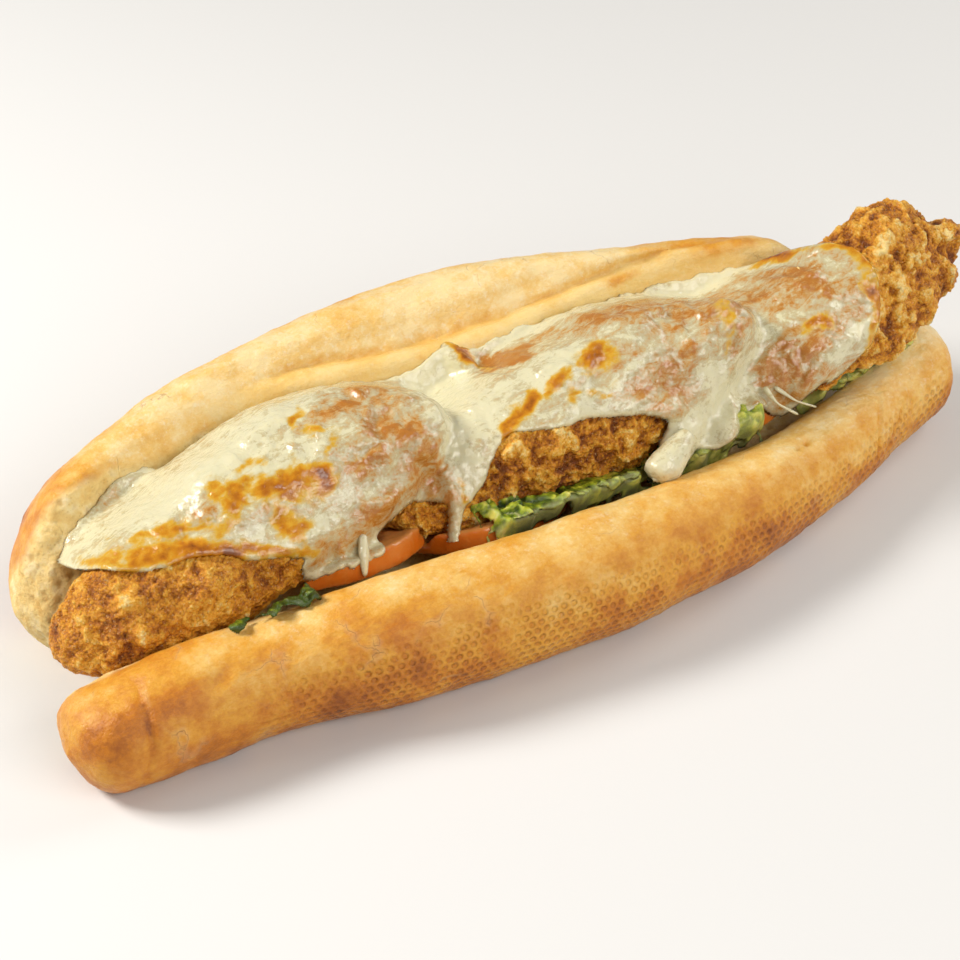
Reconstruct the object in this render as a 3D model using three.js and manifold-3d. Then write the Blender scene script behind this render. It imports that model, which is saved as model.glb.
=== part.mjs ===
// A hot chicken submarine sandwich: a long crusty roll, opened like a boat along a hinge of crumb,
// holding three breaded chicken tenders under one sheet of melted cheese, with tomato slices and
// lettuce between the chicken and the front half of the roll.
//
// Millimetres. +X runs along the roll, +Y to its back half, +Z up. The roll stands on z = 0.

import * as THREE from "three";
import { mergeVertices } from "three/addons/utils/BufferGeometryUtils.js";
import Module from "manifold-3d";

const wasm = await Module();
wasm.setup();

// ---- driving dimensions -------------------------------------------------------------------

const ROLL_LENGTH = 310; // a twelve-inch roll, from tip to tip
const GAP = 0.4; // air between two touching pieces
const CHEESE_THICKNESS = 1.8;
const TOMATO_THICKNESS = 6.5;
const LEAF_THICKNESS = 1.0;
const PLAIN_GAP = 2.2; // air round a simplified copy, which covers what the copy leaves out
const TENDER_DETAIL = 6; // how finely a tender's skin is divided

// ---- numbers that vary along the roll -----------------------------------------------------

// A smooth curve through [x, value] pairs, for a dimension that changes along the roll.
function along(pairs) {
  const last = pairs.length - 1;
  const slope = (i) => {
    const [a, b] = [pairs[Math.max(i - 1, 0)], pairs[Math.min(i + 1, last)]];
    return (b[1] - a[1]) / (b[0] - a[0]);
  };
  return (x) => {
    if (x <= pairs[0][0]) return pairs[0][1];
    if (x >= pairs[last][0]) return pairs[last][1];
    const i = pairs.findIndex((p) => p[0] > x) - 1;
    const [x0, v0] = pairs[i];
    const [x1, v1] = pairs[i + 1];
    const width = x1 - x0;
    const t = (x - x0) / width;
    const rise = t * t * (3 - 2 * t);
    const leave = t * (1 - t) * (1 - t);
    const arrive = t * t * (t - 1);
    return v0 + (v1 - v0) * rise + width * (slope(i) * leave + slope(i + 1) * arrive);
  };
}

// ---- noise, for the unevenness of baked and fried food --------------------------------------

function hash(i, j, k) {
  const s = Math.sin(i * 127.1 + j * 311.7 + k * 74.7) * 43758.5453;
  return 2 * (s - Math.floor(s)) - 1;
}

// Smooth noise from -1 to 1, with one bump in about each `size` millimetres.
function noise(p, size, seed = 0) {
  const q = [p.x / size + seed, p.y / size + 2 * seed, p.z / size - seed];
  const cell = q.map(Math.floor);
  const f = q.map((v, i) => v - cell[i]).map((v) => v * v * (3 - 2 * v));
  let sum = 0;
  for (let n = 0; n < 8; n++) {
    const bit = [n & 1, (n >> 1) & 1, (n >> 2) & 1];
    const weight = bit.reduce((w, b, i) => w * (b ? f[i] : 1 - f[i]), 1);
    sum += weight * hash(cell[0] + bit[0], cell[1] + bit[1], cell[2] + bit[2]);
  }
  return sum;
}

// ---- closed meshes and solids ---------------------------------------------------------------

// A closed skin over rings of equal numbers of points, each end drawn together in its centre.
function skinOver(rings) {
  const sides = rings[0].length;
  const centre = (ring) =>
    ring.reduce((sum, p) => sum.add(p), new THREE.Vector3()).divideScalar(sides);
  const points = [...rings.flat(), centre(rings[0]), centre(rings.at(-1))];
  const [firstCentre, lastCentre] = [points.length - 2, points.length - 1];
  const lastRing = (rings.length - 1) * sides;
  const index = [];
  for (let j = 0; j < sides; j++) {
    const next = (j + 1) % sides;
    for (let i = 0; i < rings.length - 1; i++) {
      const [a, b] = [i * sides + j, i * sides + next];
      index.push(a, b, b + sides, a, b + sides, a + sides);
    }
    index.push(firstCentre, next, j);
    index.push(lastCentre, lastRing + j, lastRing + next);
  }
  const geometry = new THREE.BufferGeometry().setFromPoints(points);
  return geometry.setIndex(index);
}

// A grid of points, two triangles to each cell, doubled into a closed sheet between two faces.
function sheetBetween(over, under) {
  const [rows, columns] = [over.length, over[0].length];
  const points = [...over.flat(), ...under.flat()];
  const at = (i, j) => i * columns + j;
  const below = rows * columns;
  const index = [];
  for (let i = 0; i < rows - 1; i++) {
    for (let j = 0; j < columns - 1; j++) {
      const [a, b, c, d] = [at(i, j), at(i + 1, j), at(i + 1, j + 1), at(i, j + 1)];
      index.push(a, b, c, a, c, d);
      index.push(below + a, below + c, below + b, below + a, below + d, below + c);
    }
  }
  const rim = [];
  for (let i = 0; i < rows - 1; i++) rim.push(at(i, 0));
  for (let j = 0; j < columns - 1; j++) rim.push(at(rows - 1, j));
  for (let i = rows - 1; i > 0; i--) rim.push(at(i, columns - 1));
  for (let j = columns - 1; j > 0; j--) rim.push(at(0, j));
  rim.forEach((a, n) => {
    const b = rim[(n + 1) % rim.length];
    index.push(a, below + a, below + b, a, below + b, b);
  });
  return new THREE.BufferGeometry().setFromPoints(points).setIndex(index);
}

function solidOf(geometry) {
  const bare = geometry.clone();
  bare.deleteAttribute("normal");
  bare.deleteAttribute("uv");
  const merged = mergeVertices(bare, 1e-3);
  const solid = new wasm.Manifold(
    new wasm.Mesh({
      numProp: 3,
      vertProperties: new Float32Array(merged.attributes.position.array),
      triVerts: new Uint32Array(merged.index.array),
    }),
  );
  if (solid.volume() < 0) throw new Error("the faces point inwards");
  return solid;
}

function geometryOf(solid) {
  const { numProp, vertProperties, triVerts } = solid.getMesh();
  const count = vertProperties.length / numProp;
  const position = new Float32Array(count * 3);
  for (let i = 0; i < count; i++)
    position.set(vertProperties.subarray(i * numProp, i * numProp + 3), i * 3);
  const geometry = new THREE.BufferGeometry();
  geometry.setAttribute("position", new THREE.BufferAttribute(position, 3));
  geometry.setIndex(new THREE.BufferAttribute(triVerts, 1));
  geometry.computeVertexNormals();
  return geometry;
}

// The solid with every face moved out by a distance.
function grown(solid, distance) {
  const geometry = geometryOf(solid);
  const { position, normal } = geometry.attributes;
  for (let i = 0; i < position.count; i++) {
    position.setXYZ(
      i,
      position.getX(i) + distance * normal.getX(i),
      position.getY(i) + distance * normal.getY(i),
      position.getZ(i) + distance * normal.getZ(i),
    );
  }
  return solidOf(geometry);
}

// What is left of a piece where its neighbours press into it: the largest remaining body.
function pressedBy(solid, neighbours, gap = GAP) {
  const cut = neighbours.reduce((rest, other) => rest.subtract(grown(other, gap)), solid);
  return cut.decompose().sort((a, b) => b.volume() - a.volume())[0];
}

// ---- the roll -------------------------------------------------------------------------------

const ROLL_LEFT = -155;
const ROLL_RIGHT = ROLL_LEFT + ROLL_LENGTH;

// The blunt rounding of an end: 1 in the body of a half roll, falling to 0 at its tips.
function endRounding(x, from, to, radius) {
  const inside = Math.min(x - from, to - x) / radius;
  return inside >= 1 ? 1 : Math.sqrt(Math.max(0, 1 - (1 - inside) ** 2));
}

// Stations from one tip to the other, closer together where the ends round off.
function stations(from, to, count) {
  const steps = Array.from({ length: count }, (_, i) => i / (count - 1));
  return steps.map((t) => from + (to - from) * (0.36 * t + 0.32 * (1 - Math.cos(Math.PI * t))));
}

const FRONT_RADIUS = along([
  [-154, 14.2], [-142, 14.4], [-120, 15.9], [-94, 16.2], [-65, 18.1], [-36, 18.7], [-17, 18.8],
  [13, 18.1], [56, 16.2], [99, 14.2], [122, 13.6], [139, 14.8], [155, 17],
]);
const FRONT_CENTRE_Y = along([
  [-154, -25], [-142, -27], [-120, -27.2], [-94, -29], [-65, -36.3], [-36, -40.6], [-17, -43],
  [13, -44.7], [56, -41.9], [74, -38.4], [99, -32.4], [122, -24.5], [139, -19], [155, -13],
]);
// How far the inner side reaches, as a share of the radius: the blunt ends keep more crumb.
const FRONT_INNER = along([[-150, 1.35], [-135, 1.2], [-105, 0.9], [-80, 0.8], [90, 0.8], [125, 1.1], [140, 1.5], [150, 1.9]]);

// The front half: a full round crust outside, flatter where its crumb faces the filling.
function frontHalf(sides, count) {
  const [from, to] = [ROLL_LEFT, ROLL_RIGHT];
  const rings = stations(from, to, count).map((x) => {
    const round = Math.max(0.05, endRounding(x, from, to, 12));
    const radius = FRONT_RADIUS(x) * round;
    const middle = FRONT_RADIUS(x) * 0.96;
    return Array.from({ length: sides }, (_, j) => {
      const angle = (2 * Math.PI * j) / sides;
      const inner = Math.cos(angle) > 0 ? FRONT_INNER(x) : 1;
      const y = FRONT_CENTRE_Y(x) + inner * radius * Math.cos(angle);
      const z = middle + radius * Math.sin(angle);
      const p = new THREE.Vector3(x, y, z);
      const bump = 0.55 * noise(p, 16, 3) + 0.3 * noise(p, 7, 5);
      return new THREE.Vector3(x, y + bump * Math.cos(angle), Math.max(0, z + bump * Math.sin(angle)));
    });
  });
  return solidOf(skinOver(rings));
}

// The back half leans back. Its section runs up the crumb face to the lip, over the crest of the
// crust, down its back to the table, and along the table to the hinge.
const LIP_Y = along([
  [-140, 22], [-124, 29], [-110, 35], [-95, 38], [-72, 41], [-45, 40], [-9, 33], [20, 30],
  [45, 32], [70, 33], [90, 29], [105, 23], [120, 15], [134, 6],
]);
const LIP_Z = along([[-140, 34], [-124, 40], [-95, 45], [-45, 48], [45, 51], [85, 52], [110, 49], [134, 42]]);
const CREST_Y = along([
  [-140, 28], [-120, 37], [-100, 44], [-84, 49], [-67, 51], [-43, 54], [7, 55], [37, 47],
  [60, 39], [77, 33], [90, 29.5], [101, 27], [120, 23], [132, 14],
]);
const CREST_Z = along([[-140, 40], [-120, 48], [-84, 55], [-43, 59], [7, 60], [60, 59], [101, 55], [112, 53.5], [122, 51], [134, 45]]);
const BACK_Y = along([
  [-140, 46], [-120, 58], [-100, 64], [-84, 69], [-43, 75], [7, 76], [37, 71], [60, 63], [77, 57],
  [101, 51], [120, 44], [134, 32],
]);
const HINGE_Y = along([[-145, 22], [-128, 12], [-105, -20], [-60, -30], [60, -32], [100, -22], [122, 0], [130, 4]]);
// The fold between the cut lip and the crust behind it: it deepens along the middle of the roll.
const CREASE = along([[-90, 0], [-50, 1.6], [-10, 3.4], [40, 3.6], [70, 2.4], [95, 0]]);

function backSection(x, sides) {
  const [lipY, lipZ, crestY, crestZ] = [LIP_Y(x), LIP_Z(x), CREST_Y(x), CREST_Z(x)];
  const [backY, hingeY, crease] = [BACK_Y(x), HINGE_Y(x), CREASE(x)];
  const floor = 9;
  const foot = backY - 11;
  const outline = [
    [lipY, lipZ],
    [lipY + 0.3 * (crestY - lipY), lipZ + 0.45 * (crestZ - lipZ) - crease],
    [lipY + 0.6 * (crestY - lipY), lipZ + 0.88 * (crestZ - lipZ) - 0.3 * crease],
    [crestY, crestZ],
    [crestY + 0.45 * (backY - crestY), 0.92 * crestZ],
    [crestY + 0.86 * (backY - crestY), 0.7 * crestZ],
    [backY, 0.42 * crestZ],
    [backY - 3, 0.18 * crestZ],
    [foot, 0],
    [0.5 * (foot + hingeY), -1.2],
    [hingeY, 0],
    [hingeY, floor],
    [0.5 * hingeY + 0.3 * lipY, floor + 2],
    [lipY - 13, 0.5 * lipZ],
    [lipY - 4, 0.88 * lipZ],
    [lipY, lipZ],
  ];
  const curve = new THREE.SplineCurve(outline.map(([y, z]) => new THREE.Vector2(y, z)));
  return curve.getSpacedPoints(sides).slice(0, -1).reverse();
}

function backHalf(sides, count) {
  const [from, to] = [-141, 136];
  const rings = stations(from, to, count).map((x) => {
    const round = Math.max(0.05, endRounding(x, from, to, 20));
    const section = backSection(x, sides);
    const middle = new THREE.Vector2(0.5 * (LIP_Y(x) + BACK_Y(x)), 0.4 * CREST_Z(x));
    return section.map(({ x: y, y: z }) => {
      const p = new THREE.Vector3(x, y, z);
      const bump = 0.8 * noise(p, 18, 7) + 0.35 * noise(p, 8, 9);
      const out = new THREE.Vector2(y - middle.x, z - middle.y);
      out.setLength(out.length() * round + bump * round);
      return new THREE.Vector3(x, middle.x + out.x, Math.max(0, middle.y + out.y));
    });
  });
  return solidOf(skinOver(rings));
}

// ---- the chicken ----------------------------------------------------------------------------

// A tender: a flat, lumpy strip along a spine. Its broad top face is tipped forwards by `tip`
// degrees, and its width and thickness each swell and narrow along it.
function tender({ spine, width, thickness, tip, seed, detail }) {
  const curve = new THREE.CatmullRomCurve3(spine.map((p) => new THREE.Vector3(...p)));
  const geometry = mergeVertices(bareSphere(detail), 1e-4);
  const { position } = geometry.attributes;
  for (let i = 0; i < position.count; i++) {
    const n = new THREE.Vector3().fromBufferAttribute(position, i);
    const t = 0.5 + 0.5 * n.x;
    const tangent = curve.getTangentAt(t);
    const angle = THREE.MathUtils.degToRad(tip(t));
    const up = new THREE.Vector3(0, -Math.sin(angle), Math.cos(angle));
    const across = new THREE.Vector3().crossVectors(up, tangent).normalize();
    up.crossVectors(tangent, across);
    const girth = Math.hypot(n.y, n.z);
    const blunt = girth > 0 ? (1 - Math.abs(n.x) ** 2.7) ** (1 / 2.7) / girth : 0;
    const p = curve.getPointAt(t);
    p.addScaledVector(across, (n.y * blunt * width(t)) / 2);
    p.addScaledVector(up, (n.z * blunt * thickness(t)) / 2);
    const lump = 2.0 * noise(p, 13, seed) + 1.3 * noise(p, 6.5, seed + 4);
    p.addScaledVector(across, lump * n.y);
    p.addScaledVector(up, lump * n.z);
    p.addScaledVector(tangent, lump * n.x);
    position.setXYZ(i, p.x, p.y, p.z);
  }
  return solidOf(geometry);
}

function bareSphere(detail) {
  const sphere = new THREE.IcosahedronGeometry(1, detail);
  sphere.deleteAttribute("normal");
  sphere.deleteAttribute("uv");
  return sphere;
}

const leftTender = (detail) => tender({
  spine: [[-143.5, -3, 25], [-118, 0, 32], [-84, 4, 38], [-52, 6, 46], [-20, 2, 49.5]],
  width: along([[0, 34], [0.25, 40], [0.6, 44], [0.85, 42], [1, 30]]),
  thickness: along([[0, 26], [0.3, 28], [0.7, 28], [1, 22]]),
  tip: along([[0, 30], [0.5, 30], [1, 34]]),
  seed: 11,
  detail,
});

const middleTender = (detail) => tender({
  spine: [[-48, -1, 30], [-14, -6, 36.5], [20, -7.5, 42], [50, -10, 50], [78, -14, 56]],
  width: along([[0, 24], [0.3, 36], [0.65, 40], [0.9, 30], [1, 20]]),
  thickness: along([[0, 18], [0.4, 26], [0.8, 24], [1, 16]]),
  tip: along([[0, 34], [0.5, 40], [1, 44]]),
  seed: 23,
  detail,
});

const rightTender = (detail) => tender({
  spine: [[46, -6, 31], [80, -10, 38.5], [112, -15, 48], [138, -12, 55], [156, -11, 58]],
  width: along([[0, 24], [0.3, 32], [0.6, 38], [0.85, 45], [1, 45]]),
  thickness: along([[0, 18], [0.4, 22], [0.8, 20], [1, 16]]),
  tip: along([[0, 36], [0.5, 36], [0.8, 44], [1, 50]]),
  seed: 37,
  detail,
});

// ---- draping --------------------------------------------------------------------------------

// The pile faces forwards. Sheets drape over it along a leaning frame: x along the roll, p up the
// slope of the pile, h out of it.
const LEAN = THREE.MathUtils.degToRad(40);
const [LEAN_COS, LEAN_SIN] = [Math.cos(LEAN), Math.sin(LEAN)];
const leaning = (x, p, h) => new THREE.Vector3(x, p * LEAN_COS - h * LEAN_SIN, p * LEAN_SIN + h * LEAN_COS);
const slopeOf = (v) => v.y * LEAN_COS + v.z * LEAN_SIN;
const heightOf = (v) => -v.y * LEAN_SIN + v.z * LEAN_COS;

const RELIEF = { left: -165, right: 165, low: -30, high: 90 };
const RELIEF_ROWS = RELIEF.right - RELIEF.left + 1;
const RELIEF_COLUMNS = RELIEF.high - RELIEF.low + 1;

// The height of the highest surface above each square millimetre of the leaning plane.
function reliefOf(solids) {
  const relief = new Float32Array(RELIEF_ROWS * RELIEF_COLUMNS).fill(-60);
  for (const solid of solids) {
    const { position } = geometryOf(solid).toNonIndexed().attributes;
    const corner = new THREE.Vector3();
    for (let i = 0; i < position.count; i += 3) {
      const [a, b, c] = [0, 1, 2].map((k) => {
        corner.fromBufferAttribute(position, i + k);
        return { x: corner.x - RELIEF.left, p: slopeOf(corner) - RELIEF.low, h: heightOf(corner) };
      });
      raiseUnder(relief, a, b, c);
    }
  }
  return relief;
}

function raiseUnder(relief, a, b, c) {
  const area = (b.x - a.x) * (c.p - a.p) - (c.x - a.x) * (b.p - a.p);
  if (Math.abs(area) < 1e-6) return;
  const [xs, ps] = [[a.x, b.x, c.x], [a.p, b.p, c.p]];
  const fromX = Math.max(0, Math.ceil(Math.min(...xs)));
  const toX = Math.min(RELIEF_ROWS - 1, Math.floor(Math.max(...xs)));
  const fromP = Math.max(0, Math.ceil(Math.min(...ps)));
  const toP = Math.min(RELIEF_COLUMNS - 1, Math.floor(Math.max(...ps)));
  for (let x = fromX; x <= toX; x++) {
    for (let p = fromP; p <= toP; p++) {
      const v = ((x - a.x) * (c.p - a.p) - (c.x - a.x) * (p - a.p)) / area;
      const w = ((b.x - a.x) * (p - a.p) - (x - a.x) * (b.p - a.p)) / area;
      if (v < -1e-9 || w < -1e-9 || v + w > 1 + 1e-9) continue;
      const at = x * RELIEF_COLUMNS + p;
      relief[at] = Math.max(relief[at], a.h + v * (b.h - a.h) + w * (c.h - a.h));
    }
  }
}

// The relief with every fall made no steeper than `slope`, as a soft sheet bridges a hollow.
function slackened(relief, slope) {
  const soft = Float32Array.from(relief);
  const steps = [[-1, 0, 1], [0, -1, 1], [-1, -1, Math.SQRT2], [-1, 1, Math.SQRT2]];
  for (const way of [1, -1]) {
    for (let n = 0; n < soft.length; n++) {
      const at = way > 0 ? n : soft.length - 1 - n;
      const [row, column] = [Math.floor(at / RELIEF_COLUMNS), at % RELIEF_COLUMNS];
      for (const [dx, dp, far] of steps) {
        const [x, p] = [row + way * dx, column + way * dp];
        if (x < 0 || x >= RELIEF_ROWS || p < 0 || p >= RELIEF_COLUMNS) continue;
        soft[at] = Math.max(soft[at], soft[x * RELIEF_COLUMNS + p] - slope * far);
      }
    }
  }
  return soft;
}

const reliefAt = (relief, x, p) =>
  relief[Math.round(x - RELIEF.left) * RELIEF_COLUMNS + Math.round(p - RELIEF.low)];

// A closed sheet over a relief, from x = `from` to `to`, between its front and its back edge. It
// falls no steeper than `slope`, and is raised where a fold would dip into what it lies on.
function drapedSheet({ relief, slope, from, to, rows, columns, front, back, lift, thickness }) {
  const soft = slackened(relief, slope);
  const stationAt = (i) => from + ((to - from) * i) / rows;
  const placeAt = (x, j) => front(x) + ((back(x) - front(x)) * j) / columns;
  const heights = Array.from({ length: rows + 1 }, (_, i) =>
    Array.from({ length: columns + 1 }, (_, j) =>
      reliefAt(soft, stationAt(i), placeAt(stationAt(i), j)),
    ),
  );
  for (let sweep = 0; sweep < 4; sweep++) {
    for (let x = Math.ceil(from); x <= to; x++) {
      for (let p = Math.ceil(front(x)); p <= back(x); p++) {
        const across = ((x - from) / (to - from)) * rows;
        const along = ((p - front(x)) / (back(x) - front(x))) * columns;
        raiseCell(heights, across, along, reliefAt(relief, x, p));
      }
    }
  }
  const face = (rise) =>
    heights.map((row, i) =>
      row.map((height, j) => {
        const x = stationAt(i);
        const p = placeAt(x, j);
        return leaning(x, p, height + lift(x, p) + rise * thickness(x, p));
      }),
    );
  return solidOf(sheetBetween(face(1), face(0)));
}

// Raises the four corners of a cell just enough for the cell to reach a height at one place in it.
function raiseCell(heights, across, along, height) {
  const i = Math.min(Math.floor(across), heights.length - 2);
  const j = Math.min(Math.floor(along), heights[0].length - 2);
  const [u, v] = [across - i, along - j];
  const corners = [
    [i, j, (1 - u) * (1 - v)],
    [i + 1, j, u * (1 - v)],
    [i, j + 1, (1 - u) * v],
    [i + 1, j + 1, u * v],
  ];
  const now = corners.reduce((sum, [row, column, share]) => sum + share * heights[row][column], 0);
  const squares = corners.reduce((sum, [, , share]) => sum + share * share, 0);
  if (now >= height) return;
  for (const [row, column, share] of corners)
    heights[row][column] += ((height - now) * share) / squares;
}

// A round strand along a path, with its own radius at each of its points.
function strand(path, radii) {
  const [rings, sides] = [5, 6];
  const curve = new THREE.CatmullRomCurve3(path.map((p) => new THREE.Vector3(...p)));
  const radius = along(radii.map((r, i) => [i / (radii.length - 1), r]));
  const frames = curve.computeFrenetFrames(rings);
  const circles = frames.normals.map((normal, i) => {
    const centre = curve.getPointAt(i / rings);
    return Array.from({ length: sides }, (_, j) => {
      const angle = (2 * Math.PI * j) / sides;
      const out = normal.clone().multiplyScalar(Math.cos(angle));
      out.addScaledVector(frames.binormals[i], Math.sin(angle));
      return centre.clone().addScaledVector(out, radius(i / rings));
    });
  });
  return solidOf(skinOver(circles));
}

// ---- tomato ---------------------------------------------------------------------------------

// A round slice that leans on the front half, its front edge raised by `tilt` degrees. The air
// round it is part of a slice with a margin.
function tomatoSlice({ at, radius, tilt }, margin = 0) {
  const edge = radius + margin;
  const geometry = new THREE.CylinderGeometry(edge, edge, TOMATO_THICKNESS + 2 * margin, 30, 1);
  geometry.rotateX(Math.PI / 2 - THREE.MathUtils.degToRad(tilt));
  geometry.translate(...at);
  return solidOf(geometry);
}

// ---- lettuce --------------------------------------------------------------------------------

// A leaf: a thin wavy ribbon down the inner side of the front half, frilled along its top edge.
function leaf({ relief, from, to, low, high, seed }) {
  const wave = (x, p) => 0.9 * Math.sin(0.55 * x + 0.4 * p + seed) + 0.6 * Math.sin(1.3 * x - 0.3 * p);
  return drapedSheet({
    relief,
    slope: 1.3,
    from,
    to,
    rows: Math.round((to - from) / 3),
    columns: 3,
    front: (x) => low(x) + 1.1 * Math.sin(0.7 * x + seed),
    back: (x) => high(x) + 0.8 * Math.sin(0.5 * x + 2 * seed),
    lift: (x, p) => 2.2 + wave(x, p),
    thickness: () => LEAF_THICKNESS,
  });
}

// ---- the cheese -----------------------------------------------------------------------------

// Where the melted sheet ends: in front it stops part of the way down each tender and hangs
// between them, behind it runs up the crumb of the back half.
const CHEESE_FRONT = along([
  [-131, 35], [-126, 28], [-117, 24.4], [-98, 20.5], [-91, 16], [-82, 14], [-74, 10.2], [-66, 7.5],
  [-58, 9.5], [-48, 12], [-41, 14.5], [-34, 15], [-28, 9], [-22, 9], [-16, 16], [-9, 21], [1, 18],
  [19, 15.5], [32, 10.5], [39, 6], [43, 1], [47, -4], [58, -5], [64, 0.5], [74, 1.5], [80, -2.5], [85, -2.5], [90, 0.5],
  [98, 0.5], [104, 2], [112, 6], [117, 12], [120, 20],
]);
const CHEESE_BACK = along([
  [-131, 40], [-126, 42.5], [-114, 47.5], [-96, 52], [-77, 58.5], [-63, 60.5], [-45, 59], [-24, 55.5],
  [-14, 54.5], [1, 57], [17, 51], [40, 50], [63, 48.5], [78, 45], [91, 45.5], [104, 46], [112, 42], [120, 33],
]);

function meltedSheet(pieces) {
  return drapedSheet({
    relief: reliefOf(pieces),
    slope: 2,
    from: -131,
    to: 120,
    rows: 54,
    columns: 10,
    front: CHEESE_FRONT,
    back: CHEESE_BACK,
    lift: () => 1,
    thickness: (x, p) => CHEESE_THICKNESS * (1.25 + 0.35 * noise(leaning(x, p, 0), 11, 41)),
  });
}

const DRIPS = [
  // the broad drip between the left and the middle tender
  { path: [[-27, -8, 44], [-27, -16, 38], [-30, -20, 32], [-33, -22, 27]], radii: [5, 4, 2.6, 2] },
  // a thin one over the tomato
  { path: [[-61, -12, 36], [-60, -17, 32], [-60, -20, 28]], radii: [2.2, 1.5, 0.8] },
  // the tongue on the lettuce, right of the middle tender
  { path: [[54, -20, 41], [43, -28, 37], [34, -33, 35], [26, -34, 34]], radii: [6, 6, 5.4, 3.2] },
];
// The browned ridge where the sheet folded as it tore from the crumb.
const CURL = { path: [[3, 33, 50], [1, 29.5, 51.5], [2, 26, 50], [5, 20.5, 49.5]], radii: [1.6, 2.6, 2.6, 1.4] };

// ---- the assembled sandwich -----------------------------------------------------------------

const chickenLeft = leftTender(TENDER_DETAIL);
const chickenMiddle = pressedBy(middleTender(TENDER_DETAIL), [chickenLeft]);
const chickenRight = pressedBy(rightTender(TENDER_DETAIL), [chickenMiddle]);
const tenders = [chickenLeft, chickenMiddle, chickenRight];
const roll = pressedBy(frontHalf(24, 33).add(backHalf(36, 30)), tenders);

// The thin pieces are pressed by simpler copies of the big ones, so their cut faces stay simple.
const plainTenders = [leftTender(3), middleTender(3), rightTender(3)];
const plainRoll = frontHalf(12, 16).add(backHalf(18, 16));
const plain = [plainRoll, ...plainTenders];

const SLICES = [
  { at: [-57, 4, 20.5], radius: 28, tilt: 22 },
  { at: [-13, -3.4, 19.6], radius: 27, tilt: 20 },
  { at: [24, 0, 19], radius: 27, tilt: 22 },
  { at: [66, -3, 20], radius: 27, tilt: 24 },
];
const tomatoes = SLICES.map((shape, i) => {
  const before = SLICES.slice(0, i).map((other) => tomatoSlice(other, GAP));
  const left = before.reduce((rest, other) => rest.subtract(other), tomatoSlice(shape));
  return pressedBy(left, plain, PLAIN_GAP);
});

const lettuceBed = reliefOf([roll, ...tomatoes]);
const wholeLeaves = [
  { from: -108, to: -78, low: along([[-108, 0], [-78, -2]]), high: along([[-108, 4], [-78, 6]]), seed: 1 },
  { from: -22, to: 33, low: along([[-22, -3], [33, -5]]), high: along([[-22, 8], [33, 9]]), seed: 2 },
  { from: 35, to: 72, low: along([[35, -6], [72, -4]]), high: along([[35, 6], [72, 8]]), seed: 3 },
  { from: 95, to: 142, low: along([[95, -2], [142, 3]]), high: along([[95, 8], [142, 14]]), seed: 4 },
].map((shape) => pressedBy(leaf({ relief: lettuceBed, ...shape }), plainTenders, PLAIN_GAP));

const firm = [roll, ...tenders, ...tomatoes];
const melted = [...DRIPS, CURL]
  .map(({ path, radii }) => pressedBy(strand(path, radii), firm))
  .reduce((sum, drip) => sum.add(drip), meltedSheet([...firm, ...wholeLeaves]));
const cheese = pressedBy(melted, tenders, 0.75 * GAP);
const leaves = wholeLeaves.map((shape) => pressedBy(shape, [cheese]));

function meshOf(name, solid, color, roughness) {
  const material = new THREE.MeshStandardMaterial({ color, roughness, metalness: 0 });
  const mesh = new THREE.Mesh(geometryOf(solid), material);
  mesh.name = name;
  return mesh;
}

const sandwich = new THREE.Group();
sandwich.add(
  meshOf("roll", roll, 0xd9a35a, 0.75),
  meshOf("chicken_left", chickenLeft, 0xa8662c, 0.7),
  meshOf("chicken_middle", chickenMiddle, 0xa8662c, 0.7),
  meshOf("chicken_right", chickenRight, 0xa8662c, 0.7),
  meshOf("cheese", cheese, 0xf2e6bd, 0.35),
  ...tomatoes.map((slice, i) => meshOf(`tomato_${i + 1}`, slice, 0xb8441f, 0.4)),
  ...leaves.map((shape, i) => meshOf(`lettuce_${i + 1}`, shape, 0x8fae3c, 0.6)),
);

// The origin is on the table, under the middle of the sandwich.
const box = new THREE.Box3().setFromObject(sandwich);
const middle = box.getCenter(new THREE.Vector3());
sandwich.position.set(-middle.x, -middle.y, -box.min.z);

export default sandwich;
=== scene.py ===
"""The looks of a hot chicken submarine sandwich, in Blender 4.5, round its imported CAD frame.

Lengths are in millimetres, with +X along the roll, +Y to its back half, +Z up, and Z 0 on the table.
The zero of the numbers here lies at ZERO in the part's frame, in which meshes are written, in metres.
"""

import itertools
import math

import bpy
import numpy as np
from mathutils import Matrix, Vector
from mathutils.bvhtree import BVHTree


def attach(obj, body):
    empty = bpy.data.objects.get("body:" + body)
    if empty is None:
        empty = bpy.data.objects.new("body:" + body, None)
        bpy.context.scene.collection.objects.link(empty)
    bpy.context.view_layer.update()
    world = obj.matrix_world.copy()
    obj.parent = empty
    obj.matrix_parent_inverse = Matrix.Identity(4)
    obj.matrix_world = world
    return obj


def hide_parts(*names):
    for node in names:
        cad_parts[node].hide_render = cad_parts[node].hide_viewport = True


MM = 0.001
# Where the zero of the numbers below lies in the part's frame.
ZERO = np.array([5.34, 0, 0])
# How large the even faces of each kind of piece are. The roll's keep it under 200,000 triangles.
FACE_SIZES = {"roll": 1.15, "chicken": 0.52, "cheese": 0.8, "tomato": 0.7, "lettuce": 0.5}
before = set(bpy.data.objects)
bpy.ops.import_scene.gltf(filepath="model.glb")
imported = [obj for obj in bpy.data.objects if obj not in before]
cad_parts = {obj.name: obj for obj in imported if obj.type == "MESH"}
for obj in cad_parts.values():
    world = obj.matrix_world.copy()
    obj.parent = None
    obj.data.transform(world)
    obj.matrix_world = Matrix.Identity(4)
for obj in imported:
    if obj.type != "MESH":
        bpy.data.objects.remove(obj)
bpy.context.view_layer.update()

# ---- numbers that vary along the roll, in millimetres 

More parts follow.
